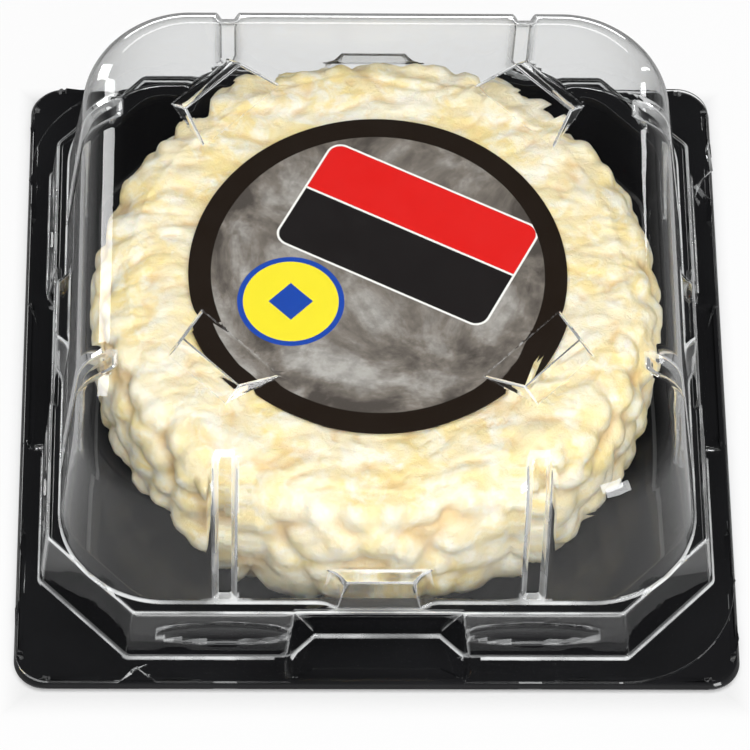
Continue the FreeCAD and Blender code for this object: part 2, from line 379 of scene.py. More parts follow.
def objectPlace(nodes, links, scale=(1, 1, 1)):
    place = addNode(nodes, "ShaderNodeTexCoord")
    mapping = addNode(nodes, "ShaderNodeMapping")
    mapping.inputs["Scale"].default_value = scale
    links.new(place.outputs["Object"], mapping.inputs["Vector"])
    return mapping.outputs["Vector"]


def noiseField(nodes, links, place, perMm, detail, rough=0.55, distortion=0.0):
    field = addNode(nodes, "ShaderNodeTexNoise")
    field.inputs["Scale"].default_value = perMm / mm
    field.inputs["Detail"].default_value = detail
    field.inputs["Roughness"].default_value = rough
    field.inputs["Distortion"].default_value = distortion
    links.new(place, field.inputs["Vector"])
    return field.outputs["Fac"]


def ramp(nodes, links, value, stops):
    band = addNode(nodes, "ShaderNodeValToRGB")
    elements = band.color_ramp.elements
    while len(elements) < len(stops):
        elements.new(0.5)
    for element, (place, colour) in zip(elements, stops):
        element.position = place
        element.color = (*colour, 1) if isinstance(colour, tuple) else (colour, colour, colour, 1)
    links.new(value, band.inputs["Fac"])
    return band.outputs["Color"]


def mixColour(nodes, links, share, first, second):
    node = addNode(nodes, "ShaderNodeMix", data_type="RGBA")
    for socket, value in ((node.inputs[0], share), (node.inputs[6], first), (node.inputs[7], second)):
        if isinstance(value, bpy.types.NodeSocket):
            links.new(value, socket)
        else:
            socket.default_value = (*value, 1)
    return node.outputs[2]


def mathNode(nodes, links, how, first, second=0.0, clamp=False):
    node = addNode(nodes, "ShaderNodeMath", operation=how, use_clamp=clamp)
    for socket, value in zip(node.inputs, (first, second)):
        if isinstance(value, bpy.types.NodeSocket):
            links.new(value, socket)
        else:
            socket.default_value = value
    return node.outputs[0]


def lookedAt(nodes, links):  # 1 where a thing is looked at directly or straight through the clear film
    path = addNode(nodes, "ShaderNodeLightPath")
    camera, through = path.outputs["Is Camera Ray"], path.outputs["Is Transmission Ray"]
    seen = mathNode(nodes, links, "MAXIMUM", camera, through)
    bounced = mathNode(nodes, links, "ADD", path.outputs["Diffuse Depth"], path.outputs["Glossy Depth"])
    fresh = mathNode(nodes, links, "LESS_THAN", bounced, 0.5)
    return mathNode(nodes, links, "MULTIPLY", seen, fresh)


def bumped(nodes, links, height, depth, strength):
    bump = addNode(nodes, "ShaderNodeBump")
    bump.inputs["Distance"].default_value = depth * mm
    bump.inputs["Strength"].default_value = strength
    links.new(height, bump.inputs["Height"])
    return bump.outputs["Normal"]


# painted highlight along the marked creases: nought off them, up to the strength on them
def paintedCreaseHighlight(nodes, links, strength):
    crease = addNode(nodes, "ShaderNodeAttribute", attribute_name="crease")
    return ramp(nodes, links, crease.outputs["Fac"], [(0.8, 0.0), (1.0, strength)])


def blackTray():
    look = {
        "colour": (0.006, 0.006, 0.0065), "cloud": (0.011, 0.011, 0.012), "cloudPerMm": 0.05,
        # the grey and the share of the painted highlight along the creases
        "line": (0.7, 0.7, 0.7), "crease": 0.14,
        "glossy": 0.07, "hazy": 0.2, "hazePerMm": 0.35, "ripple": 0.06, "ripplePerMm": 0.12,
    }
    material, nodes, links = newMaterial("blackTray")
    shader = addNode(nodes, "ShaderNodeBsdfPrincipled")
    shader.inputs["IOR"].default_value = 1.49
    place = objectPlace(nodes, links)
    cloud = noiseField(nodes, links, place, look["cloudPerMm"], 4.0)
    tint = ramp(nodes, links, cloud, [(0.3, look["colour"]), (0.75, look["cloud"])])
    # painted highlight: a pale grey mixed into the black along the marked bends and rims
    line = paintedCreaseHighlight(nodes, links, look["crease"])
    links.new(mixColour(nodes, links, line, tint, look["line"]), shader.inputs["Base Color"])
    haze = noiseField(nodes, links, place, look["hazePerMm"], 5.0)
    haze = ramp(nodes, links, haze, [(0.3, look["glossy"]), (0.8, look["hazy"])])
    links.new(haze, shader.inputs["Roughness"])
    ripple = noiseField(nodes, links, place, look["ripplePerMm"], 2.0)
    links.new(bumped(nodes, links, ripple, look["ripple"], 0.5), shader.inputs["Normal"])
    finishSurface(nodes, links, shader)
    return material


# The black tray, from the middle of its floor up the well, over the rim, down the plinth and
# out over the flange to the turned-down lip.
tray = {
    "wall": 0.5, "inset": 0.7, "wellHalf": 37.2, "wellLeg": 8.6, "wellLean": 0.16, "wellBend": 4.8,
    "wellBreaks": [7.5, 11.2, 12.7], "wellRows": (3.0, 5.0, 7.0, 8.8), "floorRound": 1.0, "rimRound": 0.2,
    "footRows": (4.4, 3.6, 2.6), "footRise": 0.3, "footOut": 0.25,
    "padBreak": 7.5, "alignShare": 0.12, "pocketShare": 0.9,  # shares of the flange's width
    "pocketWall": 0.04,
    "lip": 0.9, "lipFlare": 0.35, "lipRound": 0.25, "corner": 3.9,
    "shy": 0.05,  # keeps the lip inside the solid's own box
    "sharpFrom": 38, "creases": (18.0, 27.0, 1.2),
}
trayRim = trayBox[1][2]
trayHalf = [trayBox[1][axis] - tray["shy"] for axis in (0, 1)]


def wellLine(z, inward=0.0):
    half = tray["wellHalf"] - tray["wellLean"] * (side["shelf"] - z) - inward
    leg = tray["wellLeg"] - cornerShare * inward
    return cutLine(half, leg, tray["wellBend"], tray["wellBreaks"] + grooveBreaks)


def trayEdge(inward, corner):
    breaks = [tray["padBreak"], side["pocketFlat"], side["pocketEnd"]] + grooveBreaks
    return roundLine(trayHalf[0] - inward, trayHalf[1] - inward, [corner] * 4, breaks)


def wellRings():
    rings = []
    rise = tray["floorRound"]
    for turn in turns(30, 1, 3):
        z = tray["wall"] + rise * (1 - math.cos(turn))
        rings.append(flatRing(wellLine(z, rise * (1 - math.sin(turn))), z))
    for z in tray["wellRows"] + (trayRim - tray["rimRound"],):
        rings.append(flatRing(wellLine(z), z))
    return rings


def rimRings():
    rings = []
    small = tray["rimRound"]
    for turn in turns(30, 1, 3):
        line = wellLine(trayRim, -small * (1 - math.cos(turn)))
        rings.append(flatRing(line, trayRim - small * (1 - math.sin(turn))))
    for turn in turns(30, 0, 3):
        z = trayRim - small * (1 - math.cos(turn))
        rings.append(edgeRing(trayRim, tray["inset"], small * (1 - math.sin(turn)), z))
    return rings


def flangeRing(share, sunk):
    bottom = pressedRing(side["flange"], tray["inset"])
    edge = trayEdge(tray["lipFlare"], tray["corner"] - tray["lipFlare"] / 2)
    margin = side["pocketMargin"] - tray["lipFlare"]
    split = tray["pocketShare"]

    def ring(where, column):
        u0, n0, z0 = bottom(where, column)
        u1, n1 = edge(where, column)
        start = n0 + tray["footOut"]
        if abs(column) > straightColumns:
            u, n = mix(u0, u1, share), mix(start, n1, share)
        else:
            u = mix(u0, u1, min(share / tray["alignShare"], 1.0))
            near = n1 - margin
            if share <= split:
                n = mix(start, near, share / split)
            else:
                n = mix(near + tray["pocketWall"], n1, (share - split) / (1 - split))
        return u, n, z0 - (pocketDrop(u) if sunk else 0.0)
    return ring


def lipRings():
    rings = []
    slope = tray["lipFlare"] / tray["lip"]
    for turn in turns(25, 0, 3):
        z = side["flange"] - tray["lipRound"] * (1 - math.cos(turn))
        inward = tray["lipFlare"] + tray["lipRound"] * (1 - math.sin(turn)) - slope * (side["flange"] - z)
        rings.append(flatRing(trayEdge(inward, tray["corner"]), z))
    rings.append(flatRing(trayEdge(0.0, tray["corner"]), side["flange"] - tray["lip"]))
    return rings


def makeTray():
    rings = wellRings() + rimRings()
    rings += [pressedRing(z, tray["inset"]) for z in side["rows"] + tray["footRows"]]
    rings.append(pressedRing(side["flange"] + tray["footRise"], tray["inset"], drop=True))
    rings += [flangeRing(share, True) for share in (0.0, 0.12, 0.3, 0.5, 0.7, 0.9)]
    rings += [flangeRing(share, False) for share in (0.901, 0.95)]
    rings += lipRings()
    middle = flatMiddle(wellLine(tray["wall"], tray["floorRound"]), tray["wall"])
    sheet = drawSheet(halfColumns, middle, rings)
    makePiece("blackTrayShell", sheet, blackTray(), "tray",
              tray["sharpFrom"], tray["wall"], tray["creases"])


makeTray()


def clearFilm():
    look = {
        "colour": (0.985, 0.99, 0.99), "ior": 1.5, "roughness": 0.02, "waves": 0.05, "wavesPerMm": 0.09,
        # next: the painted highlight along the creases, with its colour, roughness, share and how patchy it
        # is
        "highlightPaint": (0.93, 0.94, 0.94), "highlightPaintRoughness": 0.3, "crease": 0.34, "highlightBreakupPerMm": 0.13,
        "shade": (0.97, 0.975, 0.975),  # what the film takes from the light that falls through it
    }
    material, nodes, links = newMaterial("clearFilm")
    glass = addNode(nodes, "ShaderNodeBsdfPrincipled")
    glass.inputs["Base Color"].default_value = (*look["colour"], 1)
    glass.inputs["Roughness"].default_value = look["roughness"]
    glass.inputs["IOR"].default_value = look["ior"]
    glass.inputs["Transmission Weight"].default_value = 1.0
    place = objectPlace(nodes, links)
    waves = noiseField(nodes, links, place, look["wavesPerMm"], 2.0)
    links.new(bumped(nodes, links, waves, look["waves"], 0.6), glass.inputs["Normal"])
    # painted highlight: a pale film mixed in along the marked bends and rims, in patches
    highlightPaint = addNode(nodes, "ShaderNodeBsdfPrincipled")
    highlightPaint.inputs["Base Color"].default_value = (*look["highlightPaint"], 1)
    highlightPaint.inputs["Roughness"].default_value = look["highlightPaintRoughness"]
    line = paintedCreaseHighlight(nodes, links, look["crease"])
    highlightBreakup = noiseField(nodes, links, place, look["highlightBreakupPerMm"], 2.0)
    line = mathNode(nodes, links, "MULTIPLY", line, ramp(nodes, links, highlightBreakup, [(0.38, 0.35), (0.6, 1.0)]))
    film = mixShaders(nodes, links, line, glass, highlightPaint)
    seeThrough = addNode(nodes, "ShaderNodeBsdfTransparent")
    seeThrough.inputs["Color"].default_value = (*look["shade"], 1)
    path = addNode(nodes, "ShaderNodeLightPath")
    soft = mathNode(nodes, links, "MAXIMUM", path.outputs["Is Shadow Ray"], path.outputs["Is Diffuse Ray"])
    mirrored = mathNode(nodes, links, "GREATER_THAN", path.outputs["Glossy Depth"], 0.5)
    soft = mathNode(nodes, links, "MAXIMUM", soft, mirrored)
    finishSurface(nodes, links, mixShaders(nodes, links, soft, film, seeThrough))
    return material


# The clear lid, from the middle of its top over the shoulder and down the wall, out over the
# shelf, down the skirt and out to the edge of the film.
lug = {
    "inner": 23.46, "ridge": 28.46, "outer": 30.76, "innerHalf": 6.6, "ridgeHalf": 4.85, "rise": 1.3,
    "round": 0.22, "margin": 1.2, "marginAcross": 1.0,  # the margins are how far round a lug the sheet is cut
}
lid = {
    "wall": 0.4, "half": 38.396, "corner": 12.8, "cornerStraight": 0.2, "lean": 0.132,
    "top": lidBox[1][2] - lug["rise"],
    "shoulder": 8.1, "shoulderSteps": 15, "foot": 0.3, "shelfRound": 0.28, "footRound": 0.26, "filmTop": 2.2,
    "grooveFrom": 17.1, "grooveTo": 19.7, "grooveRamp": 0.5, "grooveDepth": 0.8,
    "grooveLow": 11.3, "lowFade": 0.3, "grooveHigh": 31.4, "highFade": 1.8,
    "padFace": 39.3, "padFoot": 5.0, "padHead": 4.0, "padTop": 16.8, "padFlank": 2.5, "padBreak": 8.8,
    "padBelow": 0.12, "padAbove": 0.16,  # the pad ends over this height
    "wallRows": (25.3, 23.4, 21.5, 19.8, 18.4, 17.4, 17.0, 16.9, 16.82, 16.74, 16.6, 15.8, 14.6, 13.4, 12.4,
                 11.8, 11.6, 11.45, 11.3),
    "headRow": 9.7, "footRows": (4.5, 3.8, 3.0),
    "filmRows": (0.1, 0.25, 0.4, 0.6, 0.78, 0.9, 0.97, 1.0), "alignShare": 0.4,  # shares of the film's width
    "cutReach": 42.0, "cutNear": 7.55, "cutFar": 10.35,
    "filmCorner": 4.0, "filmRound": 14.1, "notchPlace": 29.0, "notchHalf": 2.3, "notchDepth": 1.9,
    "sharpFrom": 48, "creases": (7.0, 13.0, 1.2),
}
lidHalf = lidBox[1][:2]


def wallHalf(z):
    return lid["half"] - lid["lean"] * (z - side["shelf"])


tilt = math.atan(lid["lean"])
shoulderZ = lid["top"] - lid["shoulder"]
shoulderN = wallHalf(shoulderZ) - lid["shoulder"] / math.cos(tilt)


def padBreaks(z):
    share = min(max((z - side["shelf"]) / (lid["padTop"] - side["shelf"]), 0.0), 1.0)
    face = mix(lid["padFoot"], lid["padHead"], share)
    return [face, face + lid["padFlank"], lid["padBreak"]] + grooveBreaks


def domeLine(n, z):
    radius = lid["corner"] - (wallHalf(z) - n)
    return roundLine(n, n, [radius] * 4, padBreaks(z), straightShare=lid["cornerStraight"])


def grooveShape(u):
    reach = abs(u)
    rising = ease(lid["grooveFrom"], lid["grooveFrom"] + lid["grooveRamp"], reach)
    falling = ease(lid["grooveTo"] - lid["grooveRamp"], lid["grooveTo"], reach)
    return lid["grooveDepth"] * rising * (1 - falling)


def domeRing(n, z, turn):
    line = domeLine(n, z)
    upper = ease(lid["grooveHigh"], lid["grooveHigh"] + lid["highFade"], n)
    lower = ease(lid["grooveLow"], lid["grooveLow"] + lid["lowFade"], z)
    padRise = 1 - ease(lid["padTop"] - lid["padBelow"], lid["padTop"] + lid["padAbove"], z)
    padInner, padOuter = padBreaks(z)[:2]

    def ring(where, column):
        u, place = line(where, column)
        deep = grooveShape(u) * upper * lower if abs(column) <= straightColumns else 0.0
        out = place - deep * math.cos(turn)
        reach = abs(u)
        if padRise > 0 and reach < padOuter:
            flank = max(0.0, (reach - padInner) / lid["padFlank"])
            out = mix(out, lid["padFace"], padRise * (1 - flank) ** 2)
        return u, out, z - deep * math.sin(turn)
    return ring


def domeRings():
    rings = []
    steps = lid["shoulderSteps"]
    for step in range(1, steps + 1):
        turn = mix(math.pi / 2, tilt, step / steps)
        n = shoulderN + lid["shoulder"] * math.cos(turn)
        rings.append(domeRing(n, shoulderZ + lid["shoulder"] * math.sin(turn), turn))
    rings += [domeRing(wallHalf(z), z, tilt) for z in lid["wallRows"]]
    for turn in turns(28, 1, 3):
        n = wallHalf(side["shelf"]) + lid["foot"] * (1 - math.cos(turn))
        rings.append(domeRing(n, side["shelf"] + lid["foot"] * (1 - math.sin(turn)), tilt))
    return rings


def shelfRings():
    shelf, small = side["shelf"], lid["shelfRound"]
    inner = domeRing(wallHalf(shelf) + lid["foot"], shelf, tilt)
    outer = edgeRing(shelf - small, 0.0, small, shelf)

    def shelfRing(share):
        def ring(where, column):
            a, b = inner(where, column), outer(where, column)
            return mix(a[0], b[0], share), max(mix(a[1], b[1], share), a[1]), shelf
        return ring

    rings = [shelfRing(share) for share in (0.0, 0.5, 1.0)]
    for turn in turns(30, 1, 3):
        z = shelf - small * (1 - math.cos(turn))
        rings.append(edgeRing(shelf - small, 0.0, small * (1 - math.sin(turn)), z))
    return rings


def footRing(turn):
    skirtFoot = pressedRing(lid["filmTop"], 0.0)

    def ring(where, column):
        u, n, z = skirtFoot(where, column)
        out = lid["footRound"] * (1 - math.cos(turn))
        return u, n + out, z + lid["footRound"] * (1 - math.sin(turn)) - pocketDrop(u)
    return ring


def filmEdge():
    notch = [lid["notchPlace"] - lid["notchHalf"], lid["notchPlace"], lid["notchPlace"] + lid["notchHalf"]]
    edge = roundLine(*lidHalf, [lid["filmRound"], lid["filmCorner"]] * 2,
                     [lid["cutNear"], lid["cutFar"], side["pocketEnd"]] + grooveBreaks,
                     stops=notch, straightShare=8 / cornerColumns)

    def point(where, column):
        u, n = edge(where, column)
        reach = abs(u)
        if reach <= lid["cutFar"] + 0.01:
            n = lid["cutReach"] + max(reach - lid["cutNear"], 0.0) / 2
        if (where == 0 and u < 0) or (where == 1 and u > 0):  # the two tear notches
            n -= max(0.0, lid["notchDepth"] * (1 - abs(reach - lid["notchPlace"]) / lid["notchHalf"]))
        return u, n
    return point


def filmRing(share):
    start, edge = footRing(math.pi / 2), filmEdge()

    def ring(where, column):
        u0, n0, _ = start(where, column)
        u1, n1 = edge(where, column)
        aligned = share if abs(column) > straightColumns else min(share / lid["alignShare"], 1.0)
        u, n = mix(u0, u1, aligned), mix(n0, n1, share)
        pocketFront = lidHalf[1 - where % 2] - side["pocketMargin"]
        drop = pocketDrop(u) * (1 - ease(pocketFront - 0.2, pocketFront + 0.1, n))
        return u, n, lid["filmTop"] - drop
    return ring


def lugLevels(a, b):  # heights of a lug's facets, a outwards from the middle and b across
    endAlong = -lug["rise"] / (lug["outer"] - lug["ridge"])
    endAcross = endAlong * (lug["outer"] - lug["inner"]) / (lug["innerHalf"] - lug["ridgeHalf"])
    return (lug["rise"] * (a - lug["inner"]) / (lug["ridge"] - lug["inner"]),
            lug["rise"] * (lug["outer"] - a) / (lug["outer"] - lug["ridge"]),
            endAlong * (a - lug["inner"]) + endAcross * (abs(b) - lug["innerHalf"]))


def lugCreases():
    lines = [(lug[key], 0.0, lug[key], 1.0) for key in ("inner", "ridge", "outer")]
    for hand in (-1, 1):
        wide, slim = hand * lug["innerHalf"], hand * lug["ridgeHalf"]
        lines.append((lug["inner"], wide, lug["ridge"], slim))
        lines.append((lug["inner"], wide, lug["outer"], slim))
        lines.append((lug["ridge"], slim, lug["outer"], slim))
    return lines


def pressLug(sheet, outward, across):  # straight cuts along the creases, then the facets are lifted
    top = lid["top"]
    least, most = lug["inner"] - lug["margin"], lug["outer"] + lug["margin"]

    def region():
        found = []
        for face in sheet.faces:
            centre = face.calc_center_median()
            wide = abs(centre.dot(across)) < lug["innerHalf"] + lug["marginAcross"]
            if wide and centre.z > top - 0.05 and least < centre.dot(outward) < most:
                found.append(face)
        return found

    for a0, b0, a1, b1 in lugCreases():
        faces = region()
        geom = set(faces)
        for face in faces:
            geom.update(face.edges)
            geom.update(face.verts)
        foot = outward * a0 + across * b0 + Vector((0, 0, top))
        direction = outward * (a1 - a0) + across * (b1 - b0)
        bmesh.ops.bisect_plane(sheet, geom=list(geom), dist=0.01, plane_co=foot,
                               plane_no=direction.cross(Vector((0, 0, 1))).normalized())
    facets = [[], [], [], []]
    for face in region():
        centre = face.calc_center_median()
        levels = lugLevels(centre.dot(outward), centre.dot(across))
        if min(levels) > 0.001:
            which = levels.index(min(levels))
            facets[which + (1 if which == 2 and centre.dot(across) > 0 else 0)].append(face)
    for vert in {v for faces in facets for face in faces for v in face.verts}:
        vert.co.z = top + max(0.0, min(lugLevels(vert.co.dot(outward), vert.co.dot(across))))
    joined = []
    for faces in facets:
        joined += bmesh.ops.dissolve_faces(sheet, faces=faces, use_verts=False)["region"]
    creases = [edge for face in joined for edge in face.edges
               if len(edge.link_faces) == 2 and all(other in joined for other in edge.link_faces)]
    bmesh.ops.bevel(sheet, geom=list(set(creases)), affect="EDGES", offset=lug["round"], offset_type="OFFSET",
                    segments=2, profile=0.5, material=-1, clamp_overlap=True)


def makeLid():
    rings = domeRings() + shelfRings()
    rings += [pressedRing(z, 0.0) for z in (lid["headRow"],) + side["rows"] + lid["footRows"]]
    rings += [footRing(turn) for turn in turns(30, 0, 3)]
    rings += [filmRing(share) for share in lid["filmRows"]]
    sheet = drawSheet(halfColumns, flatMiddle(domeLine(shoulderN, lid["top"]), lid["top"]), rings)
    for corner in range(4):
        angle = math.radians(45 + 90 * corner)
        outward = Vector((math.cos(angle), math.sin(angle), 0))
        pressLug(sheet, outward, Vector((-math.sin(angle), math.cos(angle), 0)))
    makePiece("clearLidShell", sheet, clearFilm(), "lid",
              lid["sharpFrom"], lid["wall"], lid["creases"])


makeLid()


def curdRind():
    look = {
        # pale is the flecks' own colour and also the painted highlight on the crowns; crease and its share
        # are painted shade in the hollows
        "cream": (0.90, 0.79, 0.55), "pale": (0.94, 0.88, 0.73), "yellow": (0.91, 0.74, 0.36),
        "crease": (0.74, 0.50, 0.22), "hollowShadeShare": 0.7,
        "glow": 0.35, "glowRadius": (1.0, 0.75, 0.45), "glowScale": 1.8, "ior": 1.4,
        "patchPerMm": 0.11, "fleckPerMm": 0.32, "glossPerMm": 0.5, "grainPerMm": 0.9, "grain": 0.7,
    }
    material, nodes, links = newMaterial("curdRind")
    shader = addNode(nodes, "ShaderNodeBsdfPrincipled")
    shader.inputs["Subsurface Weight"].default_value = look["glow"]
    shader.inputs["Subsurface Radius"].default_value = look["glowRadius"]
    shader.inputs["Subsurface Scale"].default_value = look["glowScale"] * mm
    shader.inputs["IOR"].default_value = look["ior"]
    place = objectPlace(nodes, links)
    relief = addNode(nodes, "ShaderNodeAttribute", attribute_name="relief").outputs["Fac"]
    patches = noiseField(nodes, links, place, look["patchPerMm"], 4.0, 0.6, 0.4)
    patches = ramp(nodes, links, patches, [(0.40, 0.0), (0.60, 1.0)])
    colour = mixColour(nodes, links, patches, look["cream"], look["yellow"])
    flecks = noiseField(nodes, links, place, look["fleckPerMm"], 5.0, 0.65, 0.5)
    flecks = ramp(nodes, links, flecks, [(0.46, 0.0), (0.64, 1.0)])
    colour = mixColour(nodes, links, flecks, colour, look["pale"])
    # painted shade: a darker tan in the hollows of the relief
    paintedHollowShade = ramp(nodes, links, relief, [(0.08, 1.0), (0.42, 0.0)])
    paintedHollowShade = mathNode(nodes, links, "MULTIPLY", paintedHollowShade, look["hollowShadeShare"])
    colour = mixColour(nodes, links, paintedHollowShade, colour, look["crease"])
    # painted highlight: a paler cream on the crowns of the relief
    high = ramp(nodes, links, relief, [(0.7, 0.0), (1.0, 0.6)])
    links.new(mixColour(nodes, links, high, colour, look["pale"]), shader.inputs["Base Color"])
    gloss = noiseField(nodes, links, place, look["glossPerMm"], 4.0)
    links.new(ramp(nodes, links, gloss, [(0.3, 0.42), (0.7, 0.68)]), shader.inputs["Roughness"])
    grain = noiseField(nodes, links, place, look["grainPerMm"], 8.0, 0.72, 0.4)
    links.new(bumped(nodes, links, grain, look["grain"], 0.6), shader.inputs["Normal"])
    finishSurface(nodes, links, shader)
    return material


noise.seed_set(5)  # the same rind at each run
cheese = {
    "half": 84, "steps": 50,  # columns of half a side, and rings from the top's rim to the foot
    "middle": -0.15, "radius": 35.25, "low": cheeseBox[0][2], "high": cheeseBox[1][2] - 0.3,
    "crown": 4.6, "foot": 4.6, "lobe": 0.22,
    "curdTall": 5.9, "curdsRound": 49, "curdHeight": 1.5, "curdLumps": 0.38, "curdFine": 0.1,
    "topCurd": 2.6, "topHeight": 0.26, "wrinkle": 0.26, "fineWrinkle": 0.13, "topFine": 0.07, "swell": 0.3,
    "topMost": 0.28, "sideMost": 0.34,  # the relief rises no more than this
    "calmFrom": 20.5, "calmTo": 23.6, "calm": 0.25,  # it lies calmer under the label
}


# The side view of the round, from a place near the top's rim to the foot: distance inwards
# and height.
def sideLine(share):
    crown, foot, high = cheese["crown"], cheese["foot"], cheese["high"]
    tall = high - cheese["low"]
    bends = [(0.0, crown * 1.15, 0.0), (0.16, crown * 0.45, -crown * 0.22), (0.3, 0.35, -crown * 0.75),
             (0.45, 0.0, -crown * 1.35), (0.78, 0.25, -tall + foot * 1.1),
             (0.92, foot * 0.3, -tall + foot * 0.3), (1.0, foot, -tall)]
    for first, second in zip(bends, bends[1:]):
        if share <= second[0]:
            part = (share - first[0]) / (second[0] - first[0])
            return mix(first[1], second[1], part), high + mix(first[2], second[2], part)
    return foot, cheese["low"]


def smoothSide():
    line = []
    for step in range(cheese["steps"]):
        share = step / cheese["steps"]
        near = [sideLine(min(max(share + off, 0.0), 1.0)) for off in (-0.05, -0.025, 0.0, 0.025, 0.05)]
        line.append((sum(place[0] for place in near) / 5, sum(place[1] for place in near) / 5))
    return line + [(cheese["foot"], cheese["low"])]


cheeseSide = smoothSide()
pathDown = [0.0]  # the way down the side from the top's rim
for first, second in zip(cheeseSide, cheeseSide[1:]):
    pathDown.append(pathDown[-1] + math.dist(first, second))


def lobe(angle):
    waves = math.sin(2 * angle + 0.7) + 0.7 * math.sin(5 * angle + 1.9) + 0.5 * math.sin(9 * angle + 0.4)
    return cheese["lobe"] * waves / 1.6


# how far a place lies from the middles near it, drawn together smoothly, as a round back: 1
# on the crowns and 0 deep between them
def roundBack(distances):
    blend, reach = 9.0, 0.62
    soft = -math.log(sum(math.exp(-blend * distance) for distance in distances)) / blend
    return 1 - min(max(soft, 0.0) / reach, 1.0) ** 2


# the bed of curds that wraps the side: rows of uneven lumps, laid by turn and by the way down
def curdBed(angle, down):
    column = angle / (2 * math.pi) * cheese["curdsRound"]
    row = down / cheese["curdTall"]
    distances = []
    for j in range(math.floor(row) - 1, math.floor(row) + 2):
        shift = 0.5 * (j % 2)
        first = math.floor(column - shift)
        for i in range(first - 1, first + 2):
            own = noise.cell_vector(Vector((i % cheese["curdsRound"] + 0.5, j + 20.5, 0.5)))
            across = column - (i + shift + 0.5 + 0.55 * (own.x - 0.5))
            along = row - (j + 0.5 + 0.55 * (own.y - 0.5))
            distances.append(math.hypot(across, along) / (0.85 + 0.3 * own.z))
    return roundBack(distances)


def folds(spot, long, narrow, tall):  # rounded backs of skin with narrow hollows between them
    value = noise.noise(Vector((spot.x / long, spot.y / narrow, spot.z / tall)))
    return min(math.sqrt(value * value + 0.0012) / 0.32, 1.3)


# the rind's own relief at a place, and how high it stands there from 0 to 1
def rind(place, angle, down, topShare):
    drift = noise.noise_vector(place / 9.0)
    spot = place + drift * 2.4 + noise.noise_vector(place / 4.0) * 0.4
    small = roundBack(noise.voronoi(spot / cheese["topCurd"] + Vector((7, 3, 1)))[0])
    fine = noise.fractal(spot / 1.5, 0.8, 2.1, 3)
    relief, height = 0.0, 0.0
    if topShare < 1:
        curd = curdBed(angle + drift.x * 0.035, down + drift.z * 1.3)
        relief += (1 - topShare) * (cheese["curdHeight"] * (curd - 0.72) + cheese["curdLumps"] * (small - 0.5)
                                    + cheese["curdFine"] * fine)
        height += (1 - topShare) * (0.8 * curd + 0.2 * small)
    if topShare > 0:
        fold = folds(spot, 9.0, 3.2, 5.0)
        smallFold = folds(spot + Vector((40, 9, 3)), 3.8, 1.6, 3.0)
        relief += topShare * (cheese["wrinkle"] * (fold - 0.75) + cheese["fineWrinkle"] * (smallFold - 0.7)
                              + cheese["topHeight"] * (small - 0.6) + cheese["topFine"] * fine
                              + cheese["swell"] * noise.noise(place / 9.0))
        height += topShare * (0.45 * min(fold, 1.0) + 0.25 * min(smallFold, 1.0) + 0.3 * small)
    return relief, height


def onRound(angle, out, z, down, topShare):
    full = out + lobe(angle) * min(out / cheese["radius"], 1.0)
    place = Vector((full * math.sin(angle), -full * math.cos(angle), z))
    relief, height = rind(place, angle, down, topShare)
    return full, relief, height


def cheeseTop(where, column, share):
    turn = column / cheese["half"] * math.pi / 4
    out = share * (cheese["radius"] - cheeseSide[0][0])
    full, relief, height = onRound(turn + where * math.pi / 2, out, cheese["high"], 0.0, 1.0)
    calm = mix(cheese["calm"], 1.0, ease(cheese["calmFrom"], cheese["calmTo"], full))
    z = cheese["high"] + min(relief, cheese["topMost"]) * calm
    return full * math.sin(turn), full * math.cos(turn), z, height


def cheeseRing(step):
    steps = cheese["steps"]
    inward, z = cheeseSide[step]
    before, after = cheeseSide[max(step - 1, 0)], cheeseSide[min(step + 1, steps)]
    slope = Vector((before[0] - after[0], after[1] - before[1])).normalized()
    facing = Vector((-slope.y, slope.x))
    topShare = 1 - ease(0.0, 0.22, step / steps)
    fade = 1 - 0.7 * ease(0.9, 1.0, step / steps)

    def ring(where, column):
        turn = column / cheese["half"] * math.pi / 4
        angle = turn + where * math.pi / 2
        full, relief, height = onRound(angle, cheese["radius"] - inward, z, pathDown[step], topShare)
        relief = min(relief, cheese["sideMost"])
        full += relief * facing.x * fade
        level = max(z + relief * facing.y * fade, cheese["low"])
        return full * math.sin(turn), full * math.cos(turn), level, height
    return ring


def makeCheese():
    rings = [cheeseRing(step) for step in range(1, cheese["steps"] + 1)]
    sheet = drawSheet(cheese["half"], cheeseTop, rings, kept="relief")
    bmesh.ops.holes_fill(sheet, edges=[edge for edge in sheet.edges if edge.is_boundary], sides=0)
    bmesh.ops.recalc_face_normals(sheet, faces=sheet.faces)
    bmesh.ops.translate(sheet, vec=(cheese["middle"], 0, 0), verts=sheet.verts)
    makePiece("wrinkledCheese", sheet, curdRind(), "cheese", 180)


makeCheese()

# The label's print is fields of colour only. Its plate is placed by the middle of the line
# between its two panels.
labelPrint = {
    "ringInside": 20.3, "softEdge": 0.06, "outline": 0.28,
    "turn": 27.5, "plateX": 3.9, "plateY": 6.2, "plateHalf": 14.1, "plateCorner": 1.6,
    "redHeight": 7.6, "blackHeight": 8.6,
    "spotX": -10.6, "spotY": -4.25, "spot": 6.5, "spotInside": 5.8, "diamond": 2.7,
}
labelPaint = {
    "ring": (0.013, 0.008, 0.005), "taupe": (0.20, 0.175, 0.15), "grey": (0.42, 0.40, 0.37),
    "dark": (0.07, 0.06, 0.052), "red": (0.68, 0.012, 0.01), "black": (0.012, 0.010, 0.010),
    "white": (0.85, 0.84, 0.80), "blue": (0.012, 0.06, 0.36), "yellow": (0.85, 0.72, 0.03),
}


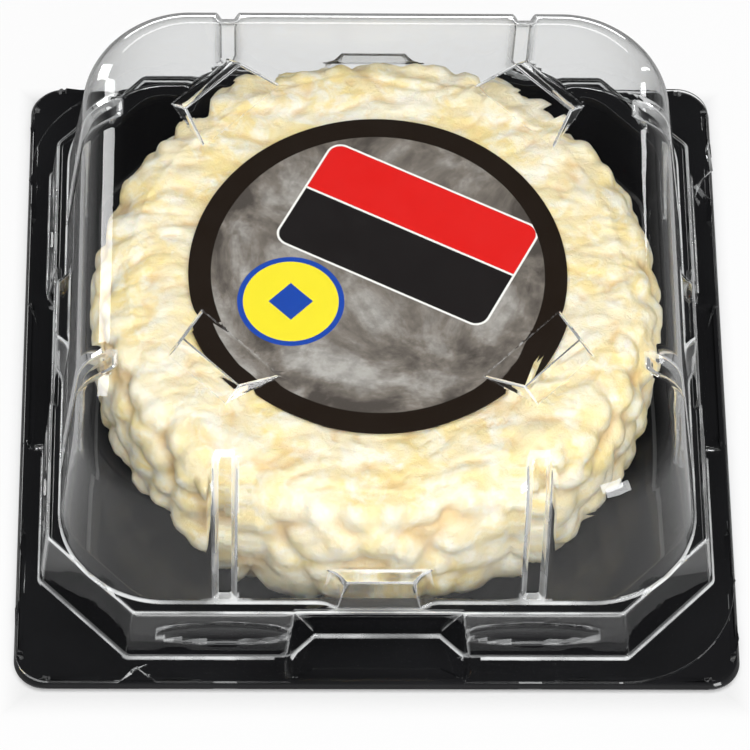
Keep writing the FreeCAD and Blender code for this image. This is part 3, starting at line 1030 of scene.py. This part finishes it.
def printedLabel():
    field, paint = labelPrint, labelPaint
    material, nodes, links = newMaterial("printedLabel")

    def plus(a, b):
        return mathNode(nodes, links, "ADD", a, b)

    def times(a, b):
        return mathNode(nodes, links, "MULTIPLY", a, b)

    def larger(a, b):
        return mathNode(nodes, links, "MAXIMUM", a, b)

    def size(a):
        return mathNode(nodes, links, "ABSOLUTE", a)

    def length(a, b):
        return mathNode(nodes, links, "SQRT", plus(times(a, a), times(b, b)))

    def painted(colour, distance, name):  # paints where a distance is below nought
        share = mathNode(nodes, links, "ADD", times(distance, -1 / field["softEdge"]), 0.5, clamp=True)
        return mixColour(nodes, links, share, colour, paint[name])

    def addPlate(colour, x, y):
        angle = math.radians(field["turn"])
        dx, dy = plus(x, -field["plateX"]), plus(y, -field["plateY"])
        along = plus(times(dx, math.cos(angle)), times(dy, -math.sin(angle)))
        up = plus(times(dx, math.sin(angle)), times(dy, math.cos(angle)))
        middle = (field["redHeight"] - field["blackHeight"]) / 2
        half = (field["redHeight"] + field["blackHeight"]) / 2
        corner = field["plateCorner"]
        overX = plus(size(along), corner - field["plateHalf"])
        overY = plus(size(plus(up, -middle)), corner - half)
        outside = length(larger(overX, 0.0), larger(overY, 0.0))
        within = mathNode(nodes, links, "MINIMUM", larger(overX, overY), 0.0)
        plate = plus(plus(outside, within), -corner)
        colour = painted(colour, plus(plate, -field["outline"]), "white")
        colour = painted(colour, plate, "black")
        colour = painted(colour, larger(plate, times(plus(up, -field["outline"] / 2), -1)), "red")
        return painted(colour, larger(plate, plus(size(up), -field["outline"] / 2)), "white")

    def addSpot(colour, x, y):
        dx, dy = plus(x, -field["spotX"]), plus(y, -field["spotY"])
        colour = painted(colour, plus(length(dx, dy), -field["spot"]), "blue")
        colour = painted(colour, plus(length(dx, dy), -field["spotInside"]), "yellow")
        return painted(colour, plus(plus(size(dx), size(dy)), -field["diamond"]), "blue")

    place = objectPlace(nodes, links)
    cloud = noiseField(nodes, links, place, 0.085, 6.0, 0.62, 0.6)
    colour = ramp(nodes, links, cloud, [(0.40, paint["dark"]), (0.50, paint["taupe"]), (0.62, paint["grey"])])
    fleck = ramp(nodes, links, noiseField(nodes, links, place, 0.5, 5.0, 0.7), [(0.42, 0.0), (0.6, 1.0)])
    colour = mixColour(nodes, links, times(fleck, 0.35), colour, paint["dark"])
    split = addNode(nodes, "ShaderNodeSeparateXYZ")
    links.new(objectPlace(nodes, links, (1 / mm, 1 / mm, 1 / mm)), split.inputs[0])
    x, y = split.outputs[0], split.outputs[1]
    colour = addSpot(addPlate(colour, x, y), x, y)
    colour = painted(colour, times(plus(length(x, y), -field["ringInside"]), -1), "ring")
    shader = addNode(nodes, "ShaderNodeBsdfPrincipled")
    links.new(colour, shader.inputs["Base Color"])
    shader.inputs["IOR"].default_value = 1.45
    gloss = ramp(nodes, links, noiseField(nodes, links, place, 0.3, 4.0), [(0.3, 0.34), (0.7, 0.5)])
    links.new(gloss, shader.inputs["Roughness"])
    fibre = noiseField(nodes, links, place, 1.6, 5.0, 0.7)
    links.new(bumped(nodes, links, fibre, 0.05, 0.35), shader.inputs["Normal"])
    finishSurface(nodes, links, shader)
    return material


def makeLabel():
    label = {
        "radius": labelBox[1][0], "low": labelBox[0][2], "thick": 0.14, "sag": 0.14, "waveLength": 14.0,
        "around": 192, "rings": 18, "ringStep": 1.2,
    }
    disc = bmesh.new()
    bmesh.ops.create_circle(disc, cap_ends=True, segments=label["around"], radius=label["radius"])
    for _ in range(label["rings"]):
        face = max(disc.faces, key=lambda f: len(f.verts) if f.calc_center_median().length < 0.01 else 0)
        bmesh.ops.inset_region(disc, faces=[face], thickness=label["ringStep"], use_even_offset=True)
    lifted = bmesh.ops.extrude_face_region(disc, geom=disc.faces[:])["geom"]
    topVerts = [part for part in lifted if isinstance(part, bmesh.types.BMVert)]
    bmesh.ops.translate(disc, vec=(0, 0, label["thick"]), verts=topVerts)
    bmesh.ops.recalc_face_normals(disc, faces=disc.faces)
    for vert in disc.verts:
        wave = noise.noise(Vector((vert.co.x / label["waveLength"], vert.co.y / label["waveLength"], 4.0)))
        vert.co.z += label["low"] + label["sag"] * (0.5 + 0.5 * wave)
    makePiece("roundLabel", disc, printedLabel(), "label", 50)


makeLabel()


def floorPaint():
    look = {
        "matt": 0.28, "seen": 0.58,  # as it lights the pack, and as it is looked at
        "glowNear": 0.15, "glowFar": 0.92, "near": 44.3, "far": 48.5,  # less glow near the pack: painted shadow, which also lets the real shadow show
        "sides": 2.5,  # the painted shadow is this much narrower at the sides and the back
    }
    material, nodes, links = newMaterial("paleFloor")
    matt = addNode(nodes, "ShaderNodeBsdfDiffuse")
    matt.inputs["Color"].default_value = (look["matt"],) * 3 + (1,)
    seen = addNode(nodes, "ShaderNodeBsdfDiffuse")
    seen.inputs["Color"].default_value = (look["seen"],) * 3 + (1,)
    glow = addNode(nodes, "ShaderNodeEmission")
    glow.inputs["Color"].default_value = (1, 1, 1, 1)
    glow.inputs["Strength"].default_value = 1.0
    place = addNode(nodes, "ShaderNodeTexCoord")
    split = addNode(nodes, "ShaderNodeSeparateXYZ")
    links.new(place.outputs["Object"], split.inputs[0])
    across = mathNode(nodes, links, "ABSOLUTE", split.outputs[0])
    sides = mathNode(nodes, links, "MAXIMUM", across, split.outputs[1])
    sides = mathNode(nodes, links, "ADD", sides, look["sides"] * mm)
    front = mathNode(nodes, links, "MULTIPLY", split.outputs[1], -1.0)
    # painted shadow band: the glow falls off towards the pack's edge, mostly in front
    paintedShadowBand = addNode(nodes, "ShaderNodeMapRange", interpolation_type="SMOOTHSTEP")
    limits = (look["near"] * mm, look["far"] * mm, look["glowNear"], look["glowFar"])
    for socket, value in zip(paintedShadowBand.inputs[1:5], limits):
        socket.default_value = value
    links.new(mathNode(nodes, links, "MAXIMUM", sides, front), paintedShadowBand.inputs["Value"])
    pale = mixShaders(nodes, links, paintedShadowBand.outputs["Result"], seen, glow)
    finishSurface(nodes, links, mixShaders(nodes, links, lookedAt(nodes, links), matt, pale))
    return material


def makeFloor():
    floor = bmesh.new()
    bmesh.ops.create_circle(floor, cap_ends=True, segments=96, radius=3.0)
    mesh = bpy.data.meshes.new("paleFloor")
    floor.to_mesh(mesh)
    floor.free()
    piece = bpy.data.objects.new("paleFloor", mesh)
    bpy.context.scene.collection.objects.link(piece)
    mesh.materials.append(floorPaint())


def makeWorld():
    room = [(0.0, 0.30), (0.3, 0.10), (0.65, 0.02)]  # the dim room that the pack mirrors, darker upwards
    world = bpy.data.worlds.new("studio")
    bpy.context.scene.world = world
    world.use_nodes = True
    nodes, links = world.node_tree.nodes, world.node_tree.links
    nodes.clear()
    direction = addNode(nodes, "ShaderNodeTexCoord")
    split = addNode(nodes, "ShaderNodeSeparateXYZ")
    links.new(direction.outputs["Generated"], split.inputs[0])
    dim = addNode(nodes, "ShaderNodeBackground")
    links.new(ramp(nodes, links, split.outputs[2], room), dim.inputs["Color"])
    dim.inputs["Strength"].default_value = 1.0
    white = addNode(nodes, "ShaderNodeBackground")
    white.inputs["Color"].default_value = (1, 1, 1, 1)
    white.inputs["Strength"].default_value = 1.0
    both = mixShaders(nodes, links, lookedAt(nodes, links), dim, white)
    finishSurface(nodes, links, both, "ShaderNodeOutputWorld")


# place, size and power, in metres and watts; the big ones light and aren't mirrored, and the
# small ones are mirrored only
softboxes = {
    "overhead": ((0.0, -0.22, 0.75), (0.8, 0.7), 8.9, "lights"),
    "frontFill": ((0.22, -0.85, 0.42), (0.9, 0.5), 6.2, "lights"),
    "leftBack": ((-0.79, 0.55, 0.30), (0.18, 0.32), 1.6, "mirrored"),
    "rightBack": ((0.80, 0.62, 0.34), (0.035, 0.26), 0.30, "mirrored"),
    "backStrip": ((0.0, 0.95, 0.22), (1.2, 0.08), 1.0, "mirrored"),
    "window": ((0.567, -0.865, 0.19), (0.34, 0.28), 3.4, "mirrored"),
}


def addSoftbox(name, place, size, power, use):
    aim = Vector((0, 0, 0.015))
    lamp = bpy.data.lights.new(name, "AREA")
    lamp.shape = "RECTANGLE"
    lamp.size, lamp.size_y = size
    lamp.energy = power
    box = bpy.data.objects.new(name, lamp)
    bpy.context.scene.collection.objects.link(box)
    box.location = place
    box.rotation_euler = (aim - Vector(place)).to_track_quat("-Z", "Y").to_euler()
    box.visible_glossy = box.visible_transmission = use == "mirrored"
    box.visible_diffuse = use == "lights"


def makeCamera():
    view = {
        "focal": 247.2, "distance": 645.1, "elevation": 56.713, "turn": 2.53, "roll": -2.2946,
        "aim": (0.125, 0.408, 0.0), "base": (0.0, -0.3, 1.7),
    }
    spin = Matrix.Rotation(math.radians(-view["turn"]), 3, "Z")
    lift = math.radians(view["elevation"])
    roll = math.radians(view["roll"])
    forward = spin @ Vector((0, math.cos(lift), -math.sin(lift)))
    right = spin @ Vector((1, 0, 0))
    up = spin @ Vector((0, math.sin(lift), math.cos(lift)))
    rightRolled = right * math.cos(roll) - up * math.sin(roll)
    upRolled = right * math.sin(roll) + up * math.cos(roll)
    place = spin @ Vector(view["aim"]) - forward * view["distance"] + Vector(view["base"])
    camera = bpy.data.cameras.new("viewCamera")
    camera.lens = view["focal"]
    camera.sensor_width = 36.0
    camera.clip_start = 0.01
    camera.clip_end = 20.0
    holder = bpy.data.objects.new("viewCamera", camera)
    bpy.context.scene.collection.objects.link(holder)
    axes = Matrix((rightRolled, upRolled, -forward)).transposed()
    holder.matrix_world = Matrix.Translation(place * mm) @ axes.to_4x4()
    bpy.context.scene.camera = holder


makeFloor()
makeWorld()
for name, box in softboxes.items():
    addSoftbox(name, *box)
makeCamera()
scene = bpy.context.scene
scene.view_settings.view_transform = "Standard"
print("floor, lights and camera set")
